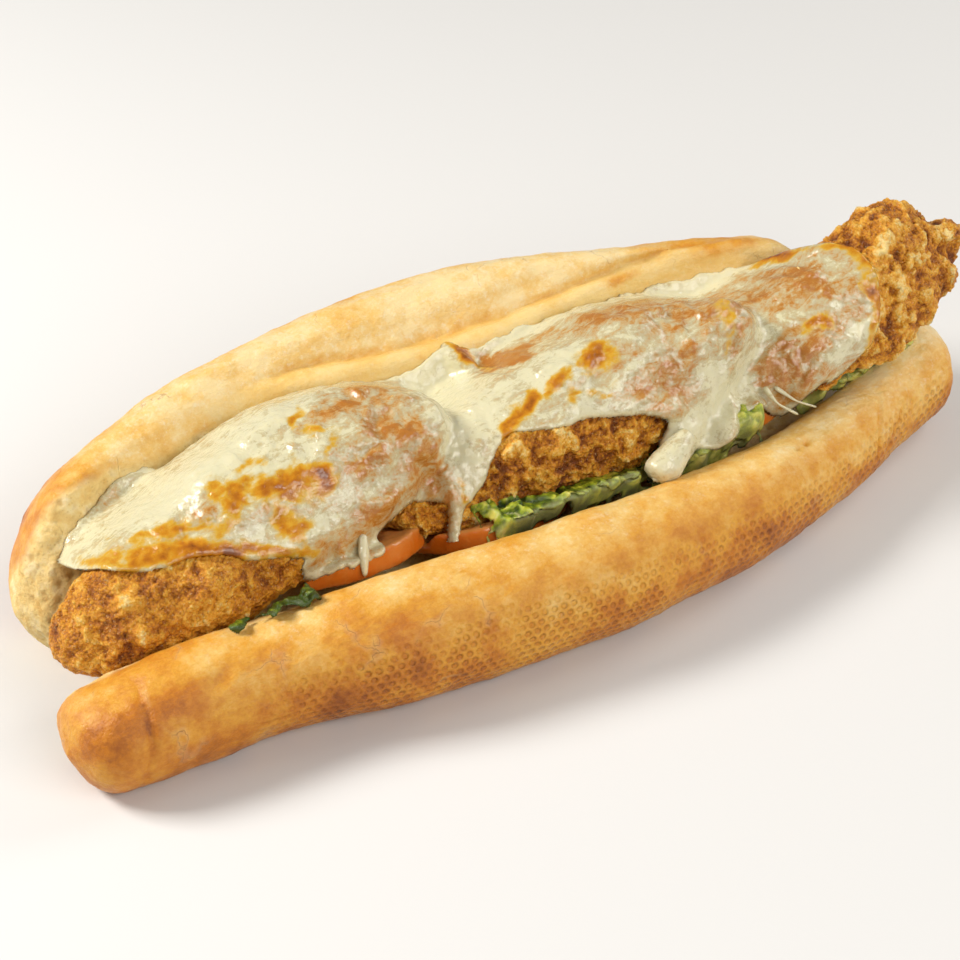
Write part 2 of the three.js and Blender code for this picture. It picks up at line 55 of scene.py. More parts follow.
# The front half: a round bar with this axis and radius.
FRONT_AXIS_Y = [
    (-160, -31.7), (-148, -33.7), (-126, -33.9), (-100, -35.7), (-71, -43), (-42, -47.3),
    (-23, -49.7), (7, -51.4), (50, -48.6), (68, -45.1), (93, -39.1), (116, -31.2), (133, -25.7),
    (149, -19.7),
]
FRONT_RADIUS = [
    (-160, 14.2), (-126, 15.9), (-100, 16.2), (-71, 18.1), (-23, 18.8), (7, 18.1), (50, 16.2),
    (93, 14.2), (116, 13.6), (133, 14.8), (149, 17),
]
# The back half: where its crest runs, and how far up its inner side the pale crumb reaches.
CREST_Y = [
    (-148, 30), (-133, 33), (-120, 35), (-106, 38), (-90, 42), (-73, 44), (-49, 47), (1, 48),
    (31, 40), (54, 32), (71, 26), (84, 22.5), (95, 20), (114, 16), (126, 7),
]
CRUMB_REACH = [
    (-147, 34), (-142, 43), (-133, 52), (-120, 56), (-101, 54), (-78, 56.5), (-64, 59),
    (-46, 58), (-15, 53.5), (12, 51.5), (35, 52.5), (58, 53), (80, 52.5), (100, 50), (126, 44),
]


def along(pairs, x):
    """The value of a table of (x, value) pairs at each x, softly rounded at its corners."""
    xs, values = zip(*pairs)
    reach = 6.0
    return sum(np.interp(x + shift, xs, values) for shift in (-reach, 0, reach)) / 3


def smoothstep(low, high, value):
    """0 at `low`, 1 at `high`, and eased between them."""
    t = np.clip((value - low) / (high - low), 0, 1)
    return t * t * (3 - 2 * t)


# ---- the leaning frame ----

# The pile faces forwards: x runs along the roll, p up the slope of the pile, h out of it.
LEAN = math.radians(40)
LEAN_P = np.array([0, math.cos(LEAN), math.sin(LEAN)])
LEAN_H = np.array([0, -math.sin(LEAN), math.cos(LEAN)])

# ---- noise ----

def hashed(cell, seed):
    """A repeatable random number from 0 to 1 for each whole-numbered cell."""
    mixed = cell[..., 0] * 73856093 ^ cell[..., 1] * 19349663 ^ cell[..., 2] * 83492791
    mixed = (mixed ^ (seed * 2654435761)) & 0x7FFFFFFF
    mixed = ((mixed ^ (mixed >> 13)) * 1274126177) & 0x7FFFFFFF
    mixed = ((mixed ^ (mixed >> 15)) * 2246822519) & 0x7FFFFFFF
    return ((mixed ^ (mixed >> 12)) & 0xFFFFF) / 0xFFFFF


def noise(points, size, seed=0):
    """Smooth noise from -1 to 1 with features of about `size`."""
    scaled = points / size + 0.37 * seed
    cell = np.floor(scaled).astype(np.int64)
    part = scaled - cell
    ease = part**3 * (part * (part * 6 - 15) + 10)
    total = np.zeros(len(points))
    for corner in itertools.product((0, 1), repeat=3):
        offset = np.array(corner)
        weight = np.prod(np.where(offset == 1, ease, 1 - ease), axis=1)
        total += weight * hashed(cell + offset, seed)
    return 2 * total - 1


def rough(points, size, seed=0, octaves=3, gain=0.5):
    """Noise with finer and fainter noise on it."""
    return sum(gain**k * noise(points, size / 2.1**k, seed + 7 * k) for k in range(octaves))


def granules(points, size, seed=0):
    """Packed grains: distances to the nearest centre and to the second, and the grain's own number."""
    scaled = points / size
    base = np.floor(scaled).astype(np.int64)
    farther_than_any = 9.0
    nearest = np.full(len(points), farther_than_any)
    second = np.full(len(points), farther_than_any)
    own = np.zeros(len(points))
    for step in itertools.product((-1, 0, 1), repeat=3):
        cell = base + np.array(step)
        centre = cell + np.stack([hashed(cell, seed + k) for k in range(3)], axis=1)
        distance = np.linalg.norm(scaled - centre, axis=1)
        closer = distance < nearest
        second = np.where(closer, nearest, np.minimum(second, distance))
        own = np.where(closer, hashed(cell, seed + 5), own)
        nearest = np.where(closer, distance, nearest)
    return nearest, second, own


# ---- meshes ----

class Skin:
    """A closed mesh of four-sided faces being worked on, its points in millimetres."""

    def __init__(self, points, faces):
        self.points = np.asarray(points, dtype=float)
        self.faces = np.asarray(faces)
        pairs = np.concatenate([np.roll(self.faces, k, axis=1)[:, :2] for k in range(4)])
        self.edges = np.unique(np.sort(pairs, axis=1), axis=0)

    def mesh(self, name):
        """A Blender mesh of it, in metres and in the part's frame."""
        mesh = bpy.data.meshes.new(name)
        mesh.from_pydata(((self.points + ZERO) * MM).tolist(), [], self.faces.tolist())
        mesh.shade_smooth()
        mesh.update()
        return mesh

    def normals(self):
        mesh = self.mesh("normals")
        normals = np.zeros(len(self.points) * 3)
        mesh.vertices.foreach_get("normal", normals)
        bpy.data.meshes.remove(mesh)
        return normals.reshape(-1, 3)

    def blurred(self, values, rounds, share=0.5):
        """Each point's value drawn towards the mean of its neighbours, again and again."""
        count = len(self.points)
        a, b = self.edges.T
        links = np.bincount(a, minlength=count) + np.bincount(b, minlength=count)
        for _ in range(rounds):
            total = np.bincount(a, values[b], count) + np.bincount(b, values[a], count)
            values = values + share * (total / links - values)
        return values

    def smooth(self, rounds, share=0.5):
        """Soften the shape itself."""
        self.points = np.stack([self.blurred(axis, rounds, share) for axis in self.points.T], axis=1)

    def swell(self, heights):
        """Move each point out along its normal."""
        self.points += self.normals() * heights[:, None]


def joined(skins):
    """Several skins as one."""
    starts = np.cumsum([0] + [len(skin.points) for skin in skins])
    faces = [skin.faces + start for skin, start in zip(skins, starts)]
    return Skin(np.concatenate([skin.points for skin in skins]), np.concatenate(faces))


def tree_of(skins):
    """One search tree over several skins."""
    skin = joined(skins)
    return BVHTree.FromPolygons(skin.points.tolist(), skin.faces.tolist())


def strand(path, radii):
    """A soft closed thread of changing thickness along a path."""
    rings, sides = 24, 8
    spread = np.linspace(0, 1, len(path))
    t = np.linspace(0, 1, rings)
    middle = np.stack([np.interp(t, spread, axis) for axis in np.array(path, dtype=float).T], axis=1)
    for _ in range(6):
        middle[1:-1] = 0.5 * middle[1:-1] + 0.25 * (middle[:-2] + middle[2:])
    radius = np.interp(t, spread, radii) * np.sqrt(np.clip(1 - np.abs(2 * t - 1) ** 12, 0.02, 1))
    axis = middle[-1] - middle[0]
    side = np.cross(axis, (0, 0, 1.0))
    side /= np.linalg.norm(side)
    other = np.cross(axis, side)
    other /= np.linalg.norm(other)
    turns = np.arange(sides) * 2 * math.pi / sides
    ring = np.cos(turns)[:, None] * side + np.sin(turns)[:, None] * other
    points = (middle[:, None] + radius[:, None, None] * ring).reshape(-1, 3)
    faces = []
    for k, j in itertools.product(range(rings - 1), range(sides)):
        here, beside = sides * k + j, sides * k + (j + 1) % sides
        faces.append((here, beside, beside + sides, here + sides))
    # three faces close the eight points of each end
    cap = [(0, 3, 2, 1), (0, 7, 4, 3), (4, 7, 6, 5)]
    last = sides * (rings - 1)
    faces += cap + [tuple(last + corner for corner in reversed(face)) for face in cap]
    return Skin(points, faces)


def remeshed(node):
    """The solid of a CAD node, cut into even faces."""
    temp = bpy.data.objects.new("temp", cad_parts[node].data.copy())
    bpy.context.scene.collection.objects.link(temp)
    remesh = temp.modifiers.new("even", "REMESH")
    remesh.mode = "VOXEL"
    remesh.voxel_size = FACE_SIZES[node.split("_")[0]] * MM
    graph = bpy.context.evaluated_depsgraph_get()
    mesh = bpy.data.meshes.new_from_object(temp.evaluated_get(graph))
    points = np.zeros(len(mesh.vertices) * 3)
    mesh.vertices.foreach_get("co", points)
    faces = np.zeros(len(mesh.loops), dtype=int)
    mesh.loops.foreach_get("vertex_index", faces)
    bpy.data.objects.remove(temp)
    bpy.data.meshes.remove(mesh)
    return Skin(points.reshape(-1, 3) / MM - ZERO, faces.reshape(-1, 4))


def piece(name, skin, material, nodes, slot, **fields):
    """An object that stands for CAD nodes, with a number for each point in each named field."""
    mesh = skin.mesh(name)
    for field, values in fields.items():
        attribute = mesh.attributes.new(field, "FLOAT", "POINT")
        attribute.data.foreach_set("value", np.asarray(values, dtype=np.float32))
    mesh.materials.append(material)
    obj = bpy.data.objects.new(name, mesh)
    bpy.context.scene.collection.objects.link(obj)
    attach(obj, "root")
    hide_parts(*nodes)
    return obj


# ---- materials ----

class Paint:
    """A material, built node by node."""

    def __init__(self, name):
        self.material = bpy.data.materials.new(name)
        self.material.use_nodes = True
        self.tree = self.material.node_tree
        self.shader = self.tree.nodes["Principled BSDF"]
        self.place = self.add("ShaderNodeTexCoord").outputs["Object"]

    def add(self, kind, **settings):
        node = self.tree.nodes.new(kind)
        for key, value in settings.items():
            setattr(node, key, value)
        return node

    def feed(self, socket, value):
        """Link a socket to another, or set it to a number or a colour."""
        if isinstance(value, bpy.types.NodeSocket):
            self.tree.links.new(value, socket)
        elif isinstance(value, (tuple, list)) and len(value) == 3 and socket.type == "RGBA":
            socket.default_value = (*value, 1.0)
        else:
            socket.default_value = value

    def field(self, name):
        """The numbers that a piece gives its points under this name."""
        return self.add("ShaderNodeAttribute", attribute_name=name).outputs["Fac"]

    def texture(self, kind, vector, size, **settings):
        """A texture node with features of about `size` millimetres."""
        node = self.add(f"ShaderNodeTex{kind}", **settings)
        self.feed(node.inputs["Vector"], vector)
        node.inputs["Scale"].default_value = 1.0 / (size * MM)
        return node

    def noise(self, size, detail=3.0, roughness=0.55, distortion=0.0, stretch=(1, 1, 1)):
        """Noise from 0 to 1 with features of about `size` millimetres."""
        mapping = self.add("ShaderNodeMapping")
        self.feed(mapping.inputs["Vector"], self.place)
        mapping.inputs["Scale"].default_value = stretch
        texture = self.texture("Noise", mapping.outputs["Vector"], size)
        texture.inputs["Detail"].default_value = detail
        texture.inputs["Roughness"].default_value = roughness
        texture.inputs["Distortion"].default_value = distortion
        return texture.outputs["Fac"]

    def cells(self, size):
        """Distance from the middle of the nearest of cells about `size` millimetres wide."""
        return self.texture("Voronoi", self.place, size, feature="F1").outputs["Distance"]

    def crazing(self, size, waver):
        """Distance from a net of wavering lines about `size` millimetres apart, as a share of it."""
        sway = self.texture("Noise", self.place, size / 3)
        sway.inputs["Detail"].default_value = 3.0
        moved = self.add("ShaderNodeVectorMath", operation="MULTIPLY_ADD")
        self.feed(moved.inputs[0], sway.outputs["Color"])
        moved.inputs[1].default_value = (waver * MM,) * 3
        self.feed(moved.inputs[2], self.place)
        net = self.texture("Voronoi", moved.outputs["Vector"], size, feature="DISTANCE_TO_EDGE")
        return net.outputs["Distance"]

    def math(self, operation, a, b=0.0, clamp=False):
        node = self.add("ShaderNodeMath", operation=operation, use_clamp=clamp)
        self.feed(node.inputs[0], a)
        self.feed(node.inputs[1], b)
        return node.outputs[0]

    def times(self, a, b):
        return self.math("MULTIPLY", a, b)

    def between(self, value, low, high, start=0.0, end=1.0):
        """`start` where the value is `low`, `end` where it is `high`, and eased between them."""
        node = self.add("ShaderNodeMapRange", interpolation_type="SMOOTHSTEP")
        self.feed(node.inputs["Value"], value)
        node.inputs["From Min"].default_value = low
        node.inputs["From Max"].default_value = high
        node.inputs["To Min"].default_value = start
        node.inputs["To Max"].default_value = end
        return node.outputs["Result"]

    def varied(self, value, pattern, amount, clamp=False):
        """A value moved up and down with a noise pattern, by up to `amount`."""
        return self.math("ADD", value, self.between(pattern, 0.3, 0.7, -amount, amount), clamp)

    def wave(self, turns):
        """A cosine of a number of whole turns."""
        return self.math("COSINE", self.times(turns, 2 * math.pi))

    def ramp(self, value, stops):
        node = self.add("ShaderNodeValToRGB")
        self.feed(node.inputs["Fac"], value)
        elements = node.color_ramp.elements
        while len(elements) < len(stops):
            elements.new(0.5)
        for element, (position, color) in zip(elements, stops):
            element.position = position
            element.color = (*color, 1.0)
        return node.outputs["Color"]

    def mix(self, share, a, b):
        """From colour a to colour b. The node's sockets share their names, so they go by number."""
        share_socket, a_socket, b_socket, result = 0, 6, 7, 2
        node = self.add("ShaderNodeMix", data_type="RGBA")
        self.feed(node.inputs[share_socket], share)
        self.feed(node.inputs[a_socket], a)
        self.feed(node.inputs[b_socket], b)
        return node.outputs[result]

    def bump(self, height, depth, under=None):
        """A fine relief `depth` millimetres deep."""
        node = self.add("ShaderNodeBump")
        node.inputs["Distance"].default_value = depth * MM
        self.feed(node.inputs["Height"], height)
        if under is not None:
            self.feed(node.inputs["Normal"], under)
        return node.outputs["Normal"]

    def finish(self, color, roughness, normal, shine=0.5,
               scatter=0.0, radius=(1.0, 0.5, 0.25), reach=1.0):
        """Set the shader. Light spreads under the surface over about `reach` millimetres."""
        self.feed(self.shader.inputs["Base Color"], color)
        self.feed(self.shader.inputs["Roughness"], roughness)
        self.feed(self.shader.inputs["Normal"], normal)
        self.shader.inputs["Specular IOR Level"].default_value = shine
        self.shader.inputs["Subsurface Weight"].default_value = scatter
        self.shader.inputs["Subsurface Radius"].default_value = radius
        self.shader.inputs["Subsurface Scale"].default_value = reach * MM
        return self.material


def screen_print(paint):
    """The baking screen's print on the crust: three crossing waves, worn away in patches."""
    column_mm, row_mm = 2.9, 2.4
    column = paint.math("DIVIDE", paint.field("run"), column_mm)
    row = paint.math("DIVIDE", paint.field("girth"), row_mm)
    lean = paint.times(row, 0.5)
    weave = paint.math("ADD", paint.wave(row), paint.wave(paint.math("ADD", column, lean)))
    weave = paint.math("ADD", weave, paint.wave(paint.math("SUBTRACT", column, lean)))
    wear = paint.between(paint.noise(15), 0.3, 0.55, 0.3, 1.0)
    worn = paint.times(paint.field("screen"), wear)
    return paint.times(paint.between(weave, -1.2, 2.4), worn)


def crust_color(paint, bake_and_shade):
    """Crust from pale to dark, dark also where painted shade is added, floury where it is pale, and its
    fine cracks, 1 inside one.
    """
    crust = paint.ramp(bake_and_shade, [
        (0.0, (0.86, 0.66, 0.32)),
        (0.2, (0.80, 0.50, 0.14)),
        (0.42, (0.70, 0.325, 0.034)),
        (0.64, (0.54, 0.18, 0.012)),
        (0.84, (0.31, 0.085, 0.010)),
        (1.0, (0.10, 0.03, 0.008)),
    ])
    flour = paint.between(paint.noise(2.2, detail=7, roughness=0.8), 0.5, 0.68)
    flour = paint.times(flour, paint.between(paint.field("bake_and_shade"), 0.5, 0.1))
    crust = paint.mix(paint.times(flour, 0.6), crust, (0.88, 0.76, 0.52))
    vein = paint.crazing(23, 13)
    dry = paint.between(paint.noise(17, detail=2), 0.54, 0.64)
    crack = paint.times(paint.between(vein, 0.0, 0.007, 1.0, 0.0), dry)
    split = paint.times(paint.between(vein, 0.0, 0.06, 1.0, 0.0), dry)
    crust = paint.mix(paint.times(split, 0.12), crust, (0.90, 0.76, 0.48))
    crust = paint.mix(paint.times(crack, 0.55), crust, (0.42, 0.19, 0.045))
    return crust, crack


def crumb_color(paint):
    """Pale crumb, with painted shade in its pores."""
    crumb = paint.ramp(paint.noise(5, detail=5, roughness=0.65), [
        (0.3, (0.68, 0.42, 0.12)),
        (0.5, (0.77, 0.56, 0.22)),
        (0.72, (0.84, 0.70, 0.40)),
    ])
    # the pinholes and the pores are darkened: painted shade
    pinhole = paint.times(paint.between(paint.cells(1.3), 0.12, 0.3, 1.0, 0.0), 0.6)
    pore = paint.math("MAXIMUM", paint.between(paint.field("pore"), 0.1, 0.9), pinhole)
    return paint.mix(paint.times(pore, 0.55), crumb, (0.42, 0.23, 0.06))


def bread_paint():
    """Crust by how far it is baked, with painted shade in its fold and sunk marks, and pale porous crumb,
    with painted shade in its pores, where the roll was cut.
    """
    paint = Paint("bread")
    mottle = paint.noise(8, detail=6, roughness=0.62)
    pressed = screen_print(paint)
    bake_and_shade = paint.varied(paint.field("bake_and_shade"), mottle, 0.12)
    bake_and_shade = paint.varied(bake_and_shade, paint.noise(1.3, detail=4, roughness=0.75), 0.05)
    bake_and_shade = paint.math("ADD", bake_and_shade, paint.times(pressed, 0.09), clamp=True)
    crust, crack = crust_color(paint, bake_and_shade)
    color = paint.mix(paint.field("crumb"), crust, crumb_color(paint))
    color = paint.mix(paint.times(paint.field("butter"), 0.55), color, (0.82, 0.57, 0.19))
    fine = paint.noise(0.8, detail=4, roughness=0.7)
    wrinkle = paint.noise(3.0, detail=5, roughness=0.6, stretch=(0.6, 1.4, 1.4))
    normal = paint.bump(fine, 0.2)
    normal = paint.bump(wrinkle, 0.6, normal)
    normal = paint.bump(paint.math("SUBTRACT", 1.0, pressed), 0.55, normal)
    normal = paint.bump(paint.math("SUBTRACT", 1.0, crack), 0.12, normal)
    rough = paint.between(mottle, 0.25, 0.75, 0.28, 0.46)
    rough = paint.mix(paint.field("crumb"), rough, (0.7, 0.7, 0.7))
    rough = paint.mix(paint.field("butter"), rough, (0.25, 0.25, 0.25))
    return paint.finish(color, rough, normal, shine=0.35, scatter=0.08, radius=(1.0, 0.5, 0.2), reach=1.5)


def breading_paint():
    """Fried breading: orange-brown in its hollows, partly its own colour and partly painted shade, pale
    gold on its crumbs.
    """
    paint = Paint("breading")
    patch = paint.noise(9, detail=4, roughness=0.6)
    grain = paint.noise(0.8, detail=5, roughness=0.75)
    crumb = paint.cells(1.1)
    # the hollows and the gaps between grains are painted darker, partly as painted shade
    tone = paint.math("ADD", paint.field("raised"), paint.between(grain, 0.35, 0.65, -0.14, 0.14))
    tone = paint.varied(tone, patch, 0.2)
    tone = paint.math("ADD", tone, paint.between(crumb, 0.1, 0.75, 0.08, -0.08), clamp=True)
    color = paint.ramp(tone, [
        (0.0, (0.19, 0.045, 0.003)),
        (0.25, (0.43, 0.135, 0.008)),
        (0.5, (0.72, 0.285, 0.015)),
        (0.75, (0.88, 0.46, 0.055)),
        (1.0, (0.96, 0.70, 0.27)),
    ])
    # pale gold specks over the grains
    pale_specks = paint.between(paint.noise(0.7, detail=2), 0.62, 0.7)
    color = paint.mix(paint.times(pale_specks, 0.35), color, (0.95, 0.72, 0.36))
    normal = paint.bump(paint.between(crumb, 0.0, 0.8, 1.0, 0.0), 0.5)
    normal = paint.bump(grain, 0.5, normal)
    rough = paint.between(paint.noise(1.6, detail=3), 0.3, 0.7, 0.24, 0.55)
    return paint.finish(color, rough, normal, shine=0.35, scatter=0.12, radius=(1.0, 0.45, 0.15), reach=1.5)


def cheese_paint():
    """Melted cheese: milky where it is thick, and near the breading's colour where it is thin."""
    paint = Paint("cheese")
    flow = paint.noise(5, detail=7, roughness=0.66, distortion=0.9, stretch=(0.6, 1.2, 1.2))
    curd = paint.noise(1.5, detail=6, roughness=0.75, distortion=0.5)
    veil = paint.varied(paint.field("depth"), flow, 0.36)
    veil = paint.varied(veil, curd, 0.24, clamp=True)
    color = paint.ramp(veil, [
        (0.0, (0.44, 0.165, 0.022)),
        (0.2, (0.51, 0.245, 0.055)),
        (0.4, (0.54, 0.345, 0.14)),
        (0.58, (0.55, 0.43, 0.235)),
        (0.78, (0.56, 0.49, 0.29)),
        (1.0, (0.70, 0.645, 0.42)),
    ])
    freckle = paint.noise(3.2, detail=4, roughness=0.5, distortion=0.6, stretch=(0.7, 1.2, 1.2))
    brown = paint.varied(paint.field("brown"), freckle, 0.13)
    brown = paint.varied(brown, curd, -0.05, clamp=True)
    toast = paint.ramp(brown, [
        (0.15, (0.62, 0.48, 0.17)),
        (0.38, (0.64, 0.37, 0.03)),
        (0.62, (0.56, 0.22, 0.004)),
        (0.85, (0.40, 0.12, 0.002)),
        (1.0, (0.22, 0.055, 0.001)),
    ])
    color = paint.mix(paint.between(brown, 0.06, 0.45), color, toast)
    ripple = paint.noise(3.0, detail=5, roughness=0.55)
    pimple = paint.noise(0.8, detail=3)
    normal = paint.bump(pimple, 0.1)
    normal = paint.bump(ripple, 0.6, normal)
    rough = paint.between(flow, 0.3, 0.7, 0.07, 0.2)
    return paint.finish(color, rough, normal, shine=0.8, scatter=0.25, radius=(1.0, 0.8, 0.45), reach=1.6)


def tomato_paint():
    """Tomato: orange-red flesh inside a redder skin."""
    paint = Paint("tomato")
    tone = paint.varied(paint.field("rind"), paint.noise(5, detail=4), 0.25)
    color = paint.ramp(tone, [
        (0.0, (0.64, 0.26, 0.07)),
        (0.4, (0.60, 0.19, 0.03)),
        (0.9, (0.56, 0.13, 0.008)),
    ])
    normal = paint.bump(paint.noise(1.5, detail=3), 0.15)
    return paint.finish(color, 0.18, normal, scatter=0.2, radius=(1.0, 0.25, 0.1), reach=2.0)


def lettuce_paint():
    """A crisp leaf: blade from dark green to yellow-green, partly its own tone and partly painted light and
    shade, with pale ribs.
    """
    paint = Paint("lettuce")
    # light: painted light on folds and crinkles, painted shade in patches, under the upper layer and on
    # leaf 1, and lighter towards the free edge
    light = paint.varied(paint.field("light"), paint.noise(4, detail=5), 0.28)
    blade = paint.ramp(light, [
        (0.05, (0.035, 0.065, 0.004)),
        (0.35, (0.13, 0.19, 0.008)),
        (0.65, (0.37, 0.42, 0.018)),
        (0.95, (0.66, 0.64, 0.10)),
    ])
    color = paint.mix(paint.field("rib"), blade, (0.62, 0.60, 0.26))
    normal = paint.bump(paint.noise(1.2, detail=5, roughness=0.7), 0.5)
    return paint.finish(color, 0.28, normal, scatter=0.2, radius=(0.5, 1.0, 0.2), reach=1.2)


# ---- the roll ----

# Marks on the front crust: (x, girth position in degrees, length, width, depth, turn in degrees).
FRONT_MARKS = {
    "fold": (-143, 30, 36, 2.0, 0.9, 80),
    "pit": (73, 74, 2.8, 2.2, 1.6, 0),
    "second pit": (69, 70, 2.2, 1.8, 1.0, 0),
    "split": (104, 40, 18, 1.8, 0.8, 60),
    "long split": (112, 20, 22, 1.6, 0.7, 35),
    "dent": (-120, 55, 8, 4, 0.8, 30),
}
# Browned marks on the inner side of the back half:
# (x, distance above the crumb, length, width, strength).
BAND_MARKS = [
    (59, 2.5, 14, 3.0, 1.0), (-12, 1, 5, 2, 0.7), (28, 4, 4, 2, 0.5), (98, 3, 26, 5, 0.8),
    (-48, 4, 8, 2, 0.4),
]


def ellipse(u, v, length, width, turn):
    """Distance from the middle of a turned ellipse, 1 at its edge."""
    angle = math.radians(turn)
    a = (u * math.cos(angle) + v * math.sin(angle)) / (length / 2)
    b = (v * math.cos(angle) - u * math.sin(angle)) / (width / 2)
    return np.hypot(a, b)


class RollPlaces:
    """Where each point of the roll lies on its front half and on its back half."""

    def __init__(self, points):
        self.points = points
        self.x, y, self.z = points.T
        axis_y, self.radius = along(FRONT_AXIS_Y, self.x), along(FRONT_RADIUS, self.x)
        self.front = smoothstep(3, -1, y - axis_y - 0.8 * self.radius)
        self.back = 1 - self.front
        # round the front half: 0 at its front, 90 on top, 180 at its inner side, -90 or 270 below
        angle = np.degrees(np.arctan2(self.z - 0.96 * self.radius, axis_y - y))
        self.angle = np.where(angle < -90, angle + 360, angle)
        self.girth = np.radians(self.angle) * self.radius
        # up the inner side of the back half, from the crumb's upper edge, and out from its crest
        self.reach = 0.66 * y + 0.751 * self.z - along(CRUMB_REACH, self.x)
        self.outer = y - along(CREST_Y, self.x)
        self.wander = 1.2 * rough(points, 9, seed=3)
        self.inner = smoothstep(4, -2, self.outer + self.wander)


def crumb_cover(at):
    """How much crumb shows: torn open at the back's left, cut along the front half's inner side."""
    torn = smoothstep(-58, -84, at.x + 4 * noise(at.points, 12, seed=4))
    torn *= smoothstep(1.6, -1.6, at.reach + at.wander)
    crumb = at.inner * np.maximum(torn, smoothstep(38, 34, at.z) * smoothstep(-2, -6, at.reach))
    turned = at.angle + 3 * at.wander
    cut = smoothstep(126, 140, turned) * smoothstep(240, 226, turned)
    cut *= smoothstep(-152, -144, at.x + at.wander) * smoothstep(150, 144, at.x + at.wander)
    return np.where(at.front > 0.5, cut, crumb) * smoothstep(1, 4, at.z)


def crumb_pores(at, crumb):
    """Small round pores, with a few large ones, where crumb shows."""
    small, _, _ = granules(at.points, 2.1, seed=11)
    large, _, own = granules(at.points, 5.0, seed=12)
    pore = 0.5 * smoothstep(0.5, 0.2, small)
    return np.maximum(pore, smoothstep(0.32, 0.12, large) * (own > 0.5)) * crumb


def sunk_marks(at):
    """How deep the marks on the front crust are."""
    sunk = np.zeros(len(at.points))
    sway_x, sway_girth = 0.8 * noise(at.points, 5, seed=18), 0.8 * noise(at.points, 4, seed=19)
    for mark_x, mark_angle, length, width, depth, turn in FRONT_MARKS.values():
        along_crust = at.x - mark_x + sway_x
        across_crust = np.radians(at.angle - mark_angle) * at.radius + sway_girth
        far = ellipse(along_crust, across_crust, length, width, turn)
        sunk += depth * smoothstep(1.6, 0.2, far) * at.front
    return sunk


def browned_stains(at):
    """How brown the marks on the inner side of the back half are."""
    stain = np.zeros(len(at.points))
    for mark_x, mark_reach, length, width, strength in BAND_MARKS:
        up = at.reach - mark_reach + 0.4 * at.wander
        far = ellipse(at.x - mark_x + at.wander, up, length, width, 0)
        stain = np.maximum(stain, strength * at.back * smoothstep(1.6, 0.2, far))
    return stain


def baked_and_shaded(at, swell, sunk, fold, stain):
    """How far the crust is baked, with painted shade added in the back half's fold and in the front's sunk
    marks, from pale at 0 to dark at 1.
    """
    bake_and_shade = 0.06 * swell + 0.07 * rough(at.points, 34, seed=16) + 0.09 * rough(at.points, 13, seed=17)
    # the front half is floury on top, golden in the middle and browner below
    side = 0.26 + 0.21 * smoothstep(84, 46, at.angle) + 0.20 * smoothstep(34, -10, at.angle)
    side += 0.41 * smoothstep(215, 265, at.angle) + 0.24 * smoothstep(-98, -138, at.x)
    side -= 0.22 * smoothstep(55, 110, at.x) * smoothstep(-10, 25, at.angle)
    # the sunk marks on the front are darkened by their depth, which is painted shade
    bake_and_shade += at.front * (np.minimum(side, 0.62) + 0.12 * sunk)
    # the back half is pale along its crest and toasted round its outer edge and its left end; the darkening
    # in the crease of its fold is painted shade
    back = 0.08 + 0.30 * smoothstep(1, 15, at.outer) + 0.36 * smoothstep(-90, -140, at.x)
    back += 0.14 * smoothstep(95, 125, at.x) + 0.22 * fold
    bake_and_shade += at.back * back
    rim = smoothstep(3.0, 0, np.abs(at.reach + at.wander)) * at.inner * smoothstep(-50, -80, at.x)
    bake_and_shade += at.back * 0.10 * rim
    return bake_and_shade + 0.3 * stain


def roll_piece():
    """The baked roll: crust with its relief and its browning, and crumb where it was opened."""
    skin = remeshed("roll")
    skin.smooth(10)
    at = RollPlaces(skin.points)
    crumb = crumb_cover(at)
    pore = crumb_pores(at, crumb)
    sunk, stain = sunk_marks(at), browned_stains(at)
    lengthwise = smoothstep(-70, -40, at.x) * smoothstep(112, 84, at.x)
    ridge = (at.reach - 6.0 + 0.6 * at.wander) / 1.5
    fold = at.back * np.exp(-ridge**2) * lengthwise * smoothstep(38, 46, at.z)
    tube = at.back * np.exp(-((at.reach - 1.5) / 3.2) ** 2) * lengthwise * smoothstep(36, 42, at.z)
    swell = rough(at.points, 24, seed=14)
    bake_and_shade = baked_and_shaded(at, swell, sunk, fold, stain)
    band = at.back * at.inner * (1 - crumb) * smoothstep(-90, -60, at.x)
    band *= smoothstep(7.5, 4.5, at.reach + 0.6 * at.wander)

    # pores in the crumb; gentle swells, blisters and the marks in the crust
    crust = 1 - crumb
    blister, _, _ = granules(at.points, 3.6, seed=15)
    height = -0.9 * pore + 0.5 * crumb * rough(at.points, 6, seed=13)
    height += crust * (0.5 * swell + 0.2 * rough(at.points, 6, seed=23))
    height += crust * 0.15 * smoothstep(0.6, 0.1, blister)
    height += 1.3 * tube - 1.6 * fold - sunk
    skin.swell(height)
    skin.points[:, 2] = np.maximum(skin.points[:, 2], 0)

    # the baking screen's pattern shows on the lower half of the front crust
    screen = at.front * smoothstep(50, 15, at.angle) * smoothstep(-85, -60, at.angle)
    screen *= smoothstep(-125, -85, at.x)
    fields = dict(bake_and_shade=bake_and_shade, crumb=crumb, pore=pore, butter=np.clip(band - stain, 0, 1))
    return skin, dict(fields, screen=screen, run=at.x, girth=at.girth)


# ---- the chicken ----

# The knuckles at the left tender's right end, the nose of the middle one, and the points and the
# notch at the right one's ragged free end, as (x, y, z, size, rise).
KNUCKLES = [
    (-38, -14, 55, 9, 2.8), (-47, -23, 50, 8, 2.4), (-36, -3, 60, 8, 2.2),
    (-52, -10, 58, 9, 1.8),
]
NOSE = [(60, -21, 61, 10, 2.6), (50, -26, 57, 8, 1.8)]
FREE_END = [
    (151, -19, 57, 9, 5.5), (140, -1, 68, 9, 3), (147, -27, 49, 8, 3), (150, -23, 56, 5, -2.5),
]


